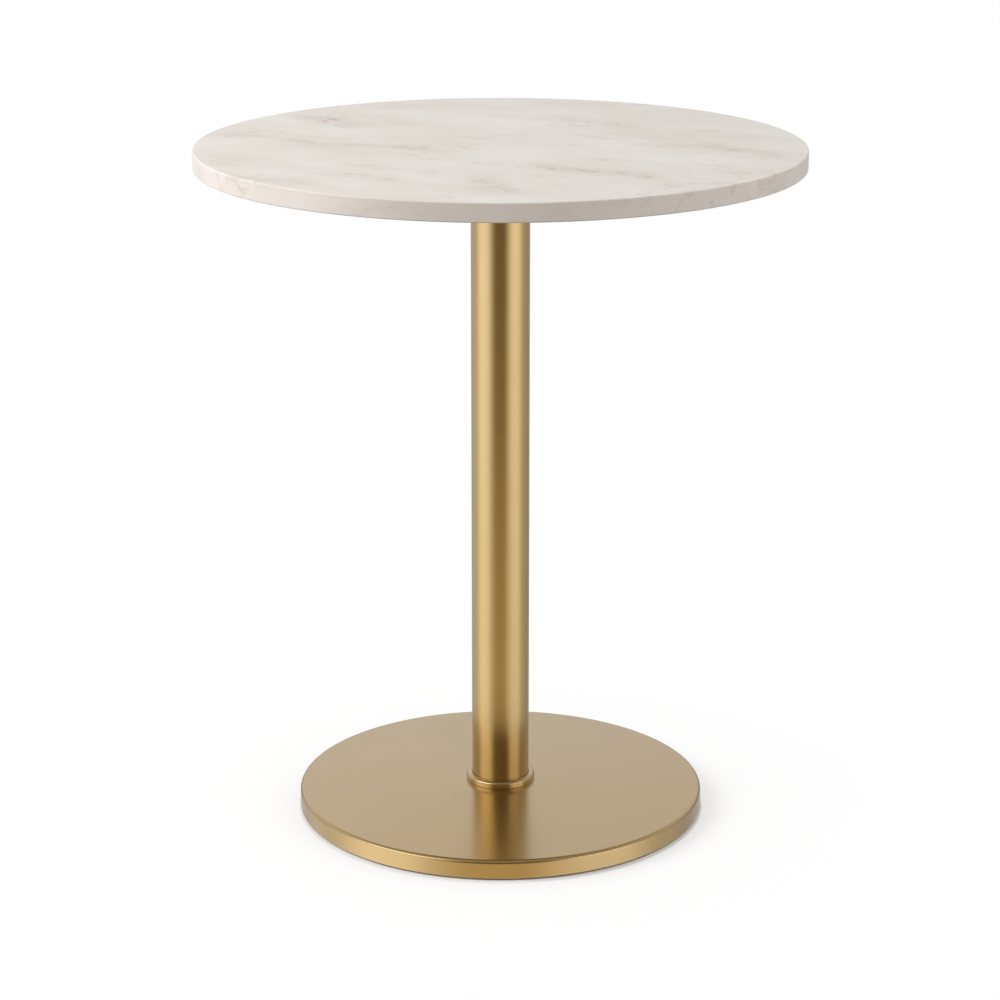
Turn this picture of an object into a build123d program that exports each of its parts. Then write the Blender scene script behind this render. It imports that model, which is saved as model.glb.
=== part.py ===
from build123d import *
import os

os.makedirs("parts", exist_ok=True)

# Round pedestal table, in millimetres. Z is up from the floor, the column stands on the Z axis and
# the front faces -Y.

# Stone top
table_height = 745.0
top_diameter = 650.0
top_thickness = 20.0
top_edge_radius = 1.5

# Column tube
column_diameter = 63.5
column_wall = 2.0
column_end_chamfer = 0.5

# Base cover, a spun dish upside down over the weight
base_diameter = 450.0
crown_rise = 5.0
rim_radius = 4.0
cover_wall = 1.5
cover_headroom = 2.9
skirt_floor_gap = 2.0
seat_margin = 3.5

# Weight
weight_thickness = 10.0
weight_side_gap = 1.5
weight_chamfer = 1.5

# Collar and its rubber ring
collar_band = 6.75
collar_height = 8.0
collar_shoulder_radius = 4.0
collar_foot_radius = 0.8
collar_fit = 0.3
o_ring_section = 2.4
o_ring_fit = 0.15

# Hubs that plug the two ends of the column
spigot_fit = 0.15
spigot_length = 22.0
spigot_chamfer = 1.0
cover_hole_fit = 0.25
top_flange_thickness = 5.0
top_flange_band = 14.0
top_hub_floor = 8.0

# Tie rod with its nut and washers
rod_diameter = 12.0
rod_chamfer = 1.0
rod_foot_gap = 1.0
rod_top_gap = 2.0
rod_stickout = 3.0
rod_hole_fit = 0.5
thread_fit = 0.05
nut_wall = 3.0
nut_height = 10.8
lock_washer_band = 4.0
lock_washer_thickness = 3.0
lock_washer_slit = 1.5
washer_band = 3.0
washer_thickness = 2.5
nut_socket_gap = 1.0

# Spider that carries the top
arm_count = 4
arm_start_angle = 45.0
arm_width = 45.0
spider_span = 380.0
spider_thickness = 6.0
spider_centre_margin = 10.0
spider_corner_radius = 12.0
spider_edge_chamfer = 0.8

# Cushion strips between spider and top
cushion_thickness = 1.5
strip_inset = 2.0

# Screws, washers and inserts of the top
screw_diameter = 6.0
screw_hole_fit = 0.5
screw_end_inset = 25.0
screw_pitch = 50.0
screw_head_band = 2.5
screw_head_height = 3.5
screw_head_radius = 1.2
screw_socket_width = 4.0
screw_socket_depth = 2.0
screw_end_gap = 2.0
screw_washer_band = 2.0
screw_washer_thickness = 1.6
insert_wall = 2.0
insert_fit = 0.1
insert_end_gap = 1.0
insert_roof = 6.0

# Countersunk screws between base hub and weight
hub_screw_count = 4
hub_screw_start_angle = 45.0
hub_screw_diameter = 8.0
hub_screw_head_band = 4.0
hub_screw_fit = 0.2
hub_screw_end_gap = 1.0
hub_screw_socket_width = 5.0
hub_screw_socket_depth = 3.0
hub_hole_roof = 1.0
countersink_angle = 90.0

# Foam ring between weight and cover
foam_width = 20.0
foam_stud_gap = 6.0
foam_fit = 0.3

# Levelling glides: bush, stud and swivelling pad
glide_places = ("back_right", "back_left", "front_left", "front_right")
glide_start_angle = 45.0
glide_inset = 35.0
bush_wall = 3.0
bush_flange_band = 2.5
bush_flange_thickness = 2.0
bush_fit = 0.1
stud_diameter = 8.0
stud_fit = 0.05
stud_chamfer = 0.8
stud_roof_gap = 2.0
stud_stop_gap = 0.3
hex_band = 2.5
hex_height = 3.0
neck_diameter = 6.0
head_band = 2.5
head_thickness = 1.5
swivel_fit = 0.3
pad_diameter = 28.0
pad_floor = 1.6
pad_lip = 1.1
pad_edge_radius = 0.6

# Radii worked out from the sizes above
column_radius = column_diameter / 2
column_bore_radius = column_radius - column_wall
spigot_radius = column_bore_radius - spigot_fit
collar_radius = column_radius + collar_band
seat_radius = collar_radius + seat_margin
base_radius = base_diameter / 2
skirt_bore_radius = base_radius - cover_wall
weight_radius = skirt_bore_radius - weight_side_gap
rod_radius = rod_diameter / 2
rod_hole_radius = rod_radius + rod_hole_fit
tapped_radius = rod_radius + thread_fit
nut_width = rod_diameter + 2 * nut_wall
washer_radius = nut_width / 2 + washer_band
nut_socket_radius = washer_radius + nut_socket_gap
top_flange_radius = column_radius + top_flange_band
outer_screw_radius = spider_span / 2 - screw_end_inset
inner_screw_radius = outer_screw_radius - screw_pitch
screw_hole_radius = screw_diameter / 2 + screw_hole_fit
screw_head_outer = screw_diameter / 2 + screw_head_band
insert_radius = screw_diameter / 2 + insert_wall
hub_screw_radius = hub_screw_diameter / 2
hub_head_radius = hub_screw_radius + hub_screw_head_band
glide_radius = base_radius - glide_inset
stud_radius = stud_diameter / 2
bush_radius = stud_radius + bush_wall
bush_flange_radius = bush_radius + bush_flange_band
neck_radius = neck_diameter / 2
head_radius = neck_radius + head_band

# Heights worked out from the sizes above, from the floor up
head_bottom = pad_floor
head_top = head_bottom + head_thickness
pocket_top = head_top + swivel_fit
pad_top = pocket_top + pad_lip
hex_bottom = pad_top + swivel_fit
hex_top = hex_bottom + hex_height
weight_bottom = hex_top + stud_stop_gap
weight_top = weight_bottom + weight_thickness
rim_height = weight_top + cover_headroom + cover_wall
seat_top = rim_height + crown_rise
seat_underside = seat_top - cover_wall
top_underside = table_height - top_thickness
spider_top = top_underside - cushion_thickness
spider_underside = spider_top - spider_thickness
column_top = spider_underside - top_flange_thickness
rod_foot = weight_top + rod_foot_gap
rod_top = spider_top - rod_top_gap
nut_bottom = rod_top - rod_stickout - nut_height
lock_washer_bottom = nut_bottom - lock_washer_thickness
washer_bottom = lock_washer_bottom - washer_thickness
top_spigot_bottom = washer_bottom - top_hub_floor
insert_hole_depth = top_thickness - insert_roof
insert_length = insert_hole_depth - insert_end_gap
screw_washer_bottom = spider_underside - screw_washer_thickness
hub_hole_depth = seat_underside - weight_top - hub_hole_roof

standing = (Align.CENTER, Align.CENTER, Align.MIN)
cone_drop = crown_rise / (base_radius - seat_radius)


def cover_underside(radius):
    """Height of the crowned cover's inner face at a distance from the column's axis."""
    return seat_underside - (radius - seat_radius) * cone_drop


def finish(builder, name):
    """Names a finished piece and writes it to its own file."""
    builder.part.label = name
    export_step(builder.part, f"parts/{name}.step")


# Stone top with blind holes for the inserts in its underside
with BuildPart() as tabletop:
    with BuildSketch(Plane.XY.offset(top_underside)):
        Circle(top_diameter / 2)
    extrude(amount=top_thickness)
    fillet(tabletop.edges().filter_by(GeomType.CIRCLE), top_edge_radius)
    with BuildSketch(Plane.XY.offset(top_underside)):
        for ring_radius in (inner_screw_radius, outer_screw_radius):
            with PolarLocations(ring_radius, arm_count, arm_start_angle):
                Circle(insert_radius + insert_fit)
    extrude(amount=insert_hole_depth, mode=Mode.SUBTRACT)
finish(tabletop, "tabletop")

# Threaded inserts, flush with the underside of the top
with BuildPart() as tabletop_inserts:
    with BuildSketch(Plane.XY.offset(top_underside)):
        for ring_radius in (inner_screw_radius, outer_screw_radius):
            with PolarLocations(ring_radius, arm_count, arm_start_angle):
                Circle(insert_radius)
                Circle(screw_diameter / 2 + thread_fit, mode=Mode.SUBTRACT)
    extrude(amount=insert_length)
finish(tabletop_inserts, "tabletop_inserts")

# Rubber strips, one on each arm of the spider
with BuildPart() as cushion_strips:
    with BuildSketch(Plane.XY.offset(spider_top)):
        with PolarLocations((inner_screw_radius + outer_screw_radius) / 2, arm_count, arm_start_angle):
            SlotCenterToCenter(screw_pitch, arm_width - 2 * strip_inset)
        for ring_radius in (inner_screw_radius, outer_screw_radius):
            with PolarLocations(ring_radius, arm_count, arm_start_angle):
                Circle(screw_hole_radius, mode=Mode.SUBTRACT)
    extrude(amount=cushion_thickness)
finish(cushion_strips, "cushion_strips")

# Four-armed plate, with a way through its centre to the tie rod's nut
with BuildPart() as spider_plate:
    with BuildSketch(Plane.XY.offset(spider_underside)) as spider_outline:
        with PolarLocations(0, arm_count // 2, arm_start_angle, angular_range=180):
            SlotOverall(spider_span, arm_width)
        Circle(top_flange_radius + spider_centre_margin)
        inner_corners = spider_outline.vertices().sort_by_distance((0, 0, 0))[: 2 * arm_count]
        fillet(inner_corners, spider_corner_radius)
    extrude(amount=spider_thickness)
    chamfer(spider_plate.faces().sort_by(Axis.Z)[0].edges(), spider_edge_chamfer)
    with BuildSketch(Plane.XY.offset(spider_underside)):
        Circle(nut_socket_radius)
        for ring_radius in (inner_screw_radius, outer_screw_radius):
            with PolarLocations(ring_radius, arm_count, arm_start_angle):
                Circle(screw_hole_radius)
    extrude(amount=spider_thickness, mode=Mode.SUBTRACT)
finish(spider_plate, "spider_plate")

# Flat washers under the spider
with BuildPart() as spider_washers:
    with BuildSketch(Plane.XY.offset(screw_washer_bottom)):
        for ring_radius in (inner_screw_radius, outer_screw_radius):
            with PolarLocations(ring_radius, arm_count, arm_start_angle):
                Circle(screw_head_outer + screw_washer_band)
                Circle(screw_hole_radius, mode=Mode.SUBTRACT)
    extrude(amount=screw_washer_thickness)
finish(spider_washers, "spider_washers")

# Round-headed socket screws, up through washer, spider and strip into the inserts
with BuildPart() as spider_screws:
    for ring_radius in (inner_screw_radius, outer_screw_radius):
        with PolarLocations(ring_radius, arm_count, arm_start_angle):
            with Locations((0, 0, screw_washer_bottom - screw_head_height)):
                Cylinder(screw_head_outer, screw_head_height, align=standing)
    fillet(spider_screws.edges().filter_by(GeomType.CIRCLE).group_by(Axis.Z)[0], screw_head_radius)
    for ring_radius in (inner_screw_radius, outer_screw_radius):
        with PolarLocations(ring_radius, arm_count, arm_start_angle):
            with Locations((0, 0, screw_washer_bottom)):
                shank_length = top_underside + insert_length - screw_end_gap - screw_washer_bottom
                Cylinder(screw_diameter / 2, shank_length, align=standing)
    with BuildSketch(Plane.XY.offset(screw_washer_bottom - screw_head_height)):
        for ring_radius in (inner_screw_radius, outer_screw_radius):
            with PolarLocations(ring_radius, arm_count, arm_start_angle):
                RegularPolygon(screw_socket_width / 2, 6, major_radius=False)
    extrude(amount=screw_socket_depth, mode=Mode.SUBTRACT)
finish(spider_screws, "spider_screws")

# Plug in the head of the column: flange under the spider and a well for the nut
with BuildPart() as top_hub:
    with BuildSketch(Plane.XZ):
        with BuildLine():
            Polyline(
                (rod_hole_radius, top_spigot_bottom),
                (spigot_radius - spigot_chamfer, top_spigot_bottom),
                (spigot_radius, top_spigot_bottom + spigot_chamfer),
                (spigot_radius, column_top),
                (top_flange_radius, column_top),
                (top_flange_radius, spider_underside),
                (nut_socket_radius, spider_underside),
                (nut_socket_radius, washer_bottom),
                (rod_hole_radius, washer_bottom),
                close=True,
            )
        make_face()
    revolve(axis=Axis.Z)
finish(top_hub, "top_hub")

# Column
with BuildPart() as column_tube:
    with BuildSketch(Plane.XY.offset(seat_top)):
        Circle(column_radius)
        Circle(column_bore_radius, mode=Mode.SUBTRACT)
    extrude(amount=column_top - seat_top)
    end_edges = column_tube.edges().filter_by(GeomType.CIRCLE)
    chamfer(end_edges, column_end_chamfer)
finish(column_tube, "column_tube")

# Tie rod from the base hub up through the column
with BuildPart() as tie_rod:
    with Locations((0, 0, rod_foot)):
        Cylinder(rod_radius, rod_top - rod_foot, align=standing)
    chamfer(tie_rod.edges().filter_by(GeomType.CIRCLE), rod_chamfer)
finish(tie_rod, "tie_rod")

# Hex nut on the rod's head
with BuildPart() as tie_rod_nut:
    with BuildSketch(Plane.XY.offset(nut_bottom)):
        RegularPolygon(nut_width / 2, 6, major_radius=False)
        Circle(tapped_radius, mode=Mode.SUBTRACT)
    extrude(amount=nut_height)
finish(tie_rod_nut, "tie_rod_nut")

# Split spring washer under the nut
with BuildPart() as tie_rod_lock_washer:
    with BuildSketch(Plane.XY.offset(lock_washer_bottom)):
        Circle(rod_radius + lock_washer_band)
        Circle(rod_hole_radius, mode=Mode.SUBTRACT)
        Rectangle(
            rod_radius + lock_washer_band,
            lock_washer_slit,
            align=(Align.MIN, Align.CENTER),
            mode=Mode.SUBTRACT,
        )
    extrude(amount=lock_washer_thickness)
finish(tie_rod_lock_washer, "tie_rod_lock_washer")

# Flat washer on the floor of the top hub's well
with BuildPart() as tie_rod_washer:
    with BuildSketch(Plane.XY.offset(washer_bottom)):
        Circle(washer_radius)
        Circle(rod_hole_radius, mode=Mode.SUBTRACT)
    extrude(amount=washer_thickness)
finish(tie_rod_washer, "tie_rod_washer")

# Collar, a rounded ring with a groove for the rubber ring in its bore
groove_middle = seat_top + collar_height / 2
groove_half = o_ring_section / 2 + o_ring_fit
collar_bore_radius = column_radius + collar_fit
groove_radius = column_radius + o_ring_section + 2 * o_ring_fit
with BuildPart() as base_collar:
    with BuildSketch(Plane.XZ) as collar_profile:
        with BuildLine():
            Polyline(
                (collar_bore_radius, seat_top),
                (collar_radius, seat_top),
                (collar_radius, seat_top + collar_height),
                (collar_bore_radius, seat_top + collar_height),
                (collar_bore_radius, groove_middle + groove_half),
                (groove_radius, groove_middle + groove_half),
                (groove_radius, groove_middle - groove_half),
                (collar_bore_radius, groove_middle - groove_half),
                close=True,
            )
        make_face()
        outer_corners = collar_profile.vertices().group_by(Axis.X)[-1].sort_by(Axis.Y)
        fillet(outer_corners[-1], collar_shoulder_radius)
        outer_corners = collar_profile.vertices().group_by(Axis.X)[-1].sort_by(Axis.Y)
        fillet(outer_corners[0], collar_foot_radius)
    revolve(axis=Axis.Z)
finish(base_collar, "base_collar")

# Rubber ring between collar and column
with BuildPart() as collar_o_ring:
    with Locations((0, 0, groove_middle)):
        Torus(column_radius + o_ring_fit + o_ring_section / 2, o_ring_section / 2)
finish(collar_o_ring, "collar_o_ring")

# Base cover: flat seat, shallow cone, rounded rim and skirt, all of one wall
with BuildPart() as base_cover:
    with BuildSketch(Plane.XZ) as cover_profile:
        with BuildLine():
            Polyline(
                (spigot_radius + cover_hole_fit, seat_top),
                (seat_radius, seat_top),
                (base_radius, rim_height),
                (base_radius, skirt_floor_gap),
                (skirt_bore_radius, skirt_floor_gap),
                (skirt_bore_radius, cover_underside(skirt_bore_radius)),
                (seat_radius, seat_underside),
                (spigot_radius + cover_hole_fit, seat_underside),
                close=True,
            )
        make_face()
        outer_rim = cover_profile.vertices().group_by(Axis.X)[-1].sort_by(Axis.Y)[-1]
        inner_rim = cover_profile.vertices().group_by(Axis.X)[-2].sort_by(Axis.Y)[-1]
        fillet(outer_rim, rim_radius)
        if rim_radius > cover_wall:
            fillet(inner_rim, rim_radius - cover_wall)
    revolve(axis=Axis.Z)
finish(base_cover, "base_cover")

# Plug in the foot of the column: flange under the cover's seat, tapped for the tie rod
with BuildPart() as base_hub:
    with BuildSketch(Plane.XZ):
        with BuildLine():
            Polyline(
                (tapped_radius, weight_top),
                (seat_radius, weight_top),
                (seat_radius, seat_underside),
                (spigot_radius, seat_underside),
                (spigot_radius, seat_top + spigot_length - spigot_chamfer),
                (spigot_radius - spigot_chamfer, seat_top + spigot_length),
                (tapped_radius, seat_top + spigot_length),
                close=True,
            )
        make_face()
    revolve(axis=Axis.Z)
    with BuildSketch(Plane.XY.offset(weight_top)):
        with PolarLocations(column_radius, hub_screw_count, hub_screw_start_angle):
            Circle(hub_screw_radius + thread_fit)
    extrude(amount=hub_hole_depth, mode=Mode.SUBTRACT)
finish(base_hub, "base_hub")

# Weight: steel disc with countersinks for the hub screws and stepped holes for the bushes
with BuildPart() as base_weight:
    with BuildSketch(Plane.XY.offset(weight_bottom)):
        Circle(weight_radius)
    extrude(amount=weight_thickness)
    chamfer(base_weight.edges().filter_by(GeomType.CIRCLE), weight_chamfer)
    with Locations(Plane((0, 0, weight_bottom), z_dir=(0, 0, -1))):
        with PolarLocations(column_radius, hub_screw_count, hub_screw_start_angle):
            CounterSinkHole(
                hub_screw_radius + hub_screw_fit,
                hub_head_radius + hub_screw_fit,
                counter_sink_angle=countersink_angle,
            )
    with Locations(Plane((0, 0, weight_bottom), z_dir=(0, 0, -1))):
        with PolarLocations(glide_radius, len(glide_places), glide_start_angle):
            CounterBoreHole(bush_radius + bush_fit, bush_flange_radius + bush_fit, bush_flange_thickness)
finish(base_weight, "base_weight")

# Countersunk socket screws, flush with the underside of the weight
with BuildPart() as hub_screws:
    with PolarLocations(column_radius, hub_screw_count, hub_screw_start_angle):
        with Locations((0, 0, weight_bottom)):
            Cone(hub_head_radius, hub_screw_radius, hub_screw_head_band, align=standing)
            Cylinder(
                hub_screw_radius,
                weight_thickness + hub_hole_depth - hub_screw_end_gap,
                align=standing,
            )
    with BuildSketch(Plane.XY.offset(weight_bottom)):
        with PolarLocations(column_radius, hub_screw_count, hub_screw_start_angle):
            RegularPolygon(hub_screw_socket_width / 2, 6, major_radius=False)
    extrude(amount=hub_screw_socket_depth, mode=Mode.SUBTRACT)
finish(hub_screws, "hub_screws")

# Foam ring that fills the space under the cover, just inside the glides
foam_outer = glide_radius - stud_radius - foam_stud_gap
foam_inner = foam_outer - foam_width
with BuildPart() as foam_ring:
    with BuildSketch(Plane.XZ):
        with BuildLine():
            Polyline(
                (foam_inner, weight_top),
                (foam_outer, weight_top),
                (foam_outer, cover_underside(foam_outer) - foam_fit),
                (foam_inner, cover_underside(foam_inner) - foam_fit),
                close=True,
            )
        make_face()
    revolve(axis=Axis.Z)
finish(foam_ring, "foam_ring")

# Threaded bushes in the weight, their flanges flush with its underside
with BuildPart() as glide_bushes:
    with PolarLocations(glide_radius, len(glide_places), glide_start_angle):
        with Locations((0, 0, weight_bottom)):
            Cylinder(bush_radius, weight_thickness, align=standing)
            Cylinder(bush_flange_radius, bush_flange_thickness, align=standing)
            Cylinder(stud_radius + stud_fit, weight_thickness, align=standing, mode=Mode.SUBTRACT)
finish(glide_bushes, "glide_bushes")

# Studs and pads, one pair at each glide
stud_top = cover_underside(glide_radius + stud_radius) - stud_roof_gap
glide_spots = PolarLocations(glide_radius, len(glide_places), glide_start_angle)
for place, spot in zip(glide_places, glide_spots):
    foot_x = spot.position.X
    foot_y = spot.position.Y

    with BuildPart() as glide_stud:
        with Locations((foot_x, foot_y, hex_top)):
            Cylinder(stud_radius, stud_top - hex_top, align=standing)
        chamfer(glide_stud.edges().filter_by(GeomType.CIRCLE).sort_by(Axis.Z)[-1], stud_chamfer)
        with BuildSketch(Plane((foot_x, foot_y, hex_bottom))):
            RegularPolygon(stud_radius + hex_band, 6, major_radius=False)
        extrude(amount=hex_height)
        with Locations((foot_x, foot_y, head_bottom)):
            Cylinder(neck_radius, hex_bottom - head_bottom, align=standing)
            Cylinder(head_radius, head_thickness, align=standing)
    finish(glide_stud, f"glide_stud_{place}")

    with BuildPart() as glide_pad:
        with Locations((foot_x, foot_y, 0)):
            Cylinder(pad_diameter / 2, pad_top, align=standing)
        fillet(glide_pad.edges().filter_by(GeomType.CIRCLE), pad_edge_radius)
        with Locations((foot_x, foot_y, head_bottom)):
            Cylinder(neck_radius + swivel_fit, pad_top - head_bottom, align=standing, mode=Mode.SUBTRACT)
            Cylinder(
                head_radius + swivel_fit,
                pocket_top - head_bottom,
                align=standing,
                mode=Mode.SUBTRACT,
            )
    finish(glide_pad, f"glide_pad_{place}")
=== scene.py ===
import math

import bmesh
import bpy
from mathutils import Matrix, Vector


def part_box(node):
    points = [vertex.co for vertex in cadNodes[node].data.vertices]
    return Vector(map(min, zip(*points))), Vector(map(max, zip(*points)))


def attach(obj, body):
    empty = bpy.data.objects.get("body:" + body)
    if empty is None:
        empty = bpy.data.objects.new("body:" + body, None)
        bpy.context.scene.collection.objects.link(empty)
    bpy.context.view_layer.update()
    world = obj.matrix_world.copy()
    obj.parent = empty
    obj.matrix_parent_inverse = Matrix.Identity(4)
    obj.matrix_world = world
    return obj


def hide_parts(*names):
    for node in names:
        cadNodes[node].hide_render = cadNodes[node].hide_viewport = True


# Round pedestal table: stone top, lacquered brass column, collar and base, on four levelling glides
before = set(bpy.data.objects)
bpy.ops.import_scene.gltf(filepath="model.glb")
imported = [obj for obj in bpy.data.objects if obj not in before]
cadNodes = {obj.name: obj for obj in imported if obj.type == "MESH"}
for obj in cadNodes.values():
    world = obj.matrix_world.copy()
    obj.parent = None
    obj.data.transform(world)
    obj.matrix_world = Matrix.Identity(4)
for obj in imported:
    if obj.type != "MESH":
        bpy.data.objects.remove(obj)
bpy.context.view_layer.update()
mm = 0.001
print("frame loaded with", len(cadNodes), "nodes")


def linearColour(hexText):
    channels = [int(hexText[start:start + 2], 16) / 255 for start in (1, 3, 5)]
    linear = [c / 12.92 if c <= 0.04045 else ((c + 0.055) / 1.055) ** 2.4 for c in channels]
    return (*linear, 1.0)


def addNode(tree, kind, inputs=None, **settings):
    node = tree.nodes.new(kind)
    for name, value in settings.items():
        setattr(node, name, value)
    for socket, value in (inputs or {}).items():
        if isinstance(value, bpy.types.NodeSocket):
            tree.links.new(value, node.inputs[socket])
        else:
            node.inputs[socket].default_value = value
    return node


def startMaterial(name):
    material = bpy.data.materials.new(name)
    material.use_nodes = True
    material.node_tree.nodes.clear()
    return material, material.node_tree


def finishMaterial(tree, shader):
    addNode(tree, "ShaderNodeOutputMaterial", {"Surface": shader.outputs[0]})


# Stone slab

topSizes = {
    "arris": 1.5 * mm,  # eased edge, rounded above and below
    "steps": 360,
    "cuts": 6,
}

stoneLook = {
    "ground": ("#D7CFC6", "#E1DBD5"),
    "veinTints": ("#AFA396", "#B39A82"),
    # spacing, reach and detail of the bends and ripples that keep the veins from running straight
    "wander": [(40 * mm, 34 * mm, 2.0), (9 * mm, 10 * mm, 3.0)],
    "streakBreadth": 2.4,  # of a vein's haze, in widths of the vein
    "streakHeight": 200 * mm,  # tall enough for the veins to show on the slab's edge too
    "haze": 0.3,  # how strongly the haze shows beside the fine lines
    "grainTurn": -24,  # degrees from the slab's x to the run of the stone's grain
    "grainStretch": 2.8,
    # fine lines where a noise crosses its middle: close together in the veins, few elsewhere
    "veinLines": {"spacing": 24 * mm, "breadth": 0.05, "depth": 0.6},
    "strayLines": {"spacing": 55 * mm, "breadth": 0.03, "depth": 1.0},
    "threads": 5 * mm,  # ragged breaks in the fine lines
    "regions": 95 * mm,  # where lesser veins gather, and where the veins are more tan
    "clouds": 60 * mm,
    "gloss": (0.34, 0.42),
    "honing": 1 * mm,  # grain left by the honing, drawn as coarse as it needs to show
}

# Lines of the veins in plan, in mm from the centre, x to the right and y to the back
veins = [
    {"path": [(-300, 67), (-230, 48), (-205, 15), (-175, -5), (-125, -5), (-85, -20), (-65, -40)],
     "width": 9, "depth": 0.75},
    {"path": [(-290, 82), (-235, 66), (-180, 40)], "width": 7, "depth": 0.4},
    {"path": [(-215, 180), (-185, 145), (-160, 125)], "width": 13, "depth": 0.9},
    {"path": [(-130, 265), (-115, 250)], "width": 12, "depth": 0.55},
    {"path": [(-55, 45), (-52, 5)], "width": 8, "depth": 0.4},
    {"path": [(120, 140), (150, 110)], "width": 16, "depth": 0.6},
    {"path": [(65, 190), (80, 160)], "width": 14, "depth": 0.35},
    {"path": [(185, -5), (225, 0), (232, -25), (275, -45), (285, -75)], "width": 10, "depth": 0.75},
    {"path": [(90, 48), (112, 42)], "width": 12, "depth": 0.3},
    {"path": [(35, -110), (55, -145), (110, -155), (140, -175), (155, -200)], "width": 10, "depth": 0.8},
    {"path": [(60, -165), (95, -172), (130, -168)], "width": 7, "depth": 0.6},
    {"path": [(-175, -170), (-125, -180), (-100, -210)], "width": 9, "depth": 0.65},
    {"path": [(-160, -110), (-125, -135)], "width": 8, "depth": 0.5},
    {"path": [(-75, -155), (-70, -175)], "width": 11, "depth": 0.5},
    {"path": [(-25, -195), (0, -225), (-15, -255), (15, -275)], "width": 11, "depth": 0.75},
    {"path": [(165, -215), (170, -240)], "width": 10, "depth": 0.45},
    {"path": [(-300, -70), (-255, -100)], "width": 26, "depth": 0.45},
    {"path": [(-310, -90), (-270, -120)], "width": 12, "depth": 0.6},
    {"path": [(-215, -200), (-200, -225)], "width": 16, "depth": 0.4},
]


def spunPiece(name, outline, rounds, steps, cuts, closed=True):
    # outline holds (radius, height) corners, rounds the radius of those corners that are rounded
    mesh = bmesh.new()
    corners = [mesh.verts.new((radius, 0, height)) for radius, height in outline]
    for index in range(0 if closed else 1, len(corners)):
        mesh.edges.new((corners[index - 1], corners[index]))
    for index, radius in rounds.items():
        here = Vector(outline[index])
        before = Vector(outline[index - 1]) - here
        after = Vector(outline[(index + 1) % len(outline)]) - here
        tangent = radius / math.tan(before.angle(after) / 2)
        bmesh.ops.bevel(mesh, geom=[corners[index]], offset=tangent, segments=cuts, profile=0.5,
                        affect="VERTICES", material=-1)
    bmesh.ops.spin(mesh, geom=mesh.verts[:] + mesh.edges[:], cent=(0, 0, 0), axis=(0, 0, 1),
                   dvec=(0, 0, 0), angle=math.tau, steps=steps, use_merge=True)
    return finishPiece(name, mesh)


def finishPiece(name, mesh, sharpAngle=30):
    bmesh.ops.remove_doubles(mesh, verts=mesh.verts[:], dist=1e-6)
    bmesh.ops.recalc_face_normals(mesh, faces=mesh.faces[:])
    for face in mesh.faces:
        face.smooth = True
    for edge in mesh.edges:
        edge.smooth = edge.is_manifold and edge.calc_face_angle(0) < math.radians(sharpAngle)
    data = bpy.data.meshes.new(name)
    mesh.to_mesh(data)
    mesh.free()
    piece = bpy.data.objects.new(name, data)
    bpy.context.scene.collection.objects.link(piece)
    # the broad faces set the normals, so that the rounds don't bend the light on them
    weigh = piece.modifiers.new("broadNormals", "WEIGHTED_NORMAL")
    weigh.keep_sharp = True
    weigh.weight = 100
    return piece


def makeTop():
    low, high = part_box("tabletop")
    radius = high.x
    outline = [(0, low.z), (radius, low.z), (radius, high.z), (0, high.z)]
    rounds = {1: topSizes["arris"], 2: topSizes["arris"]}
    return spunPiece("stone_top", outline, rounds, topSizes["steps"], topSizes["cuts"], closed=False)


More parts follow.
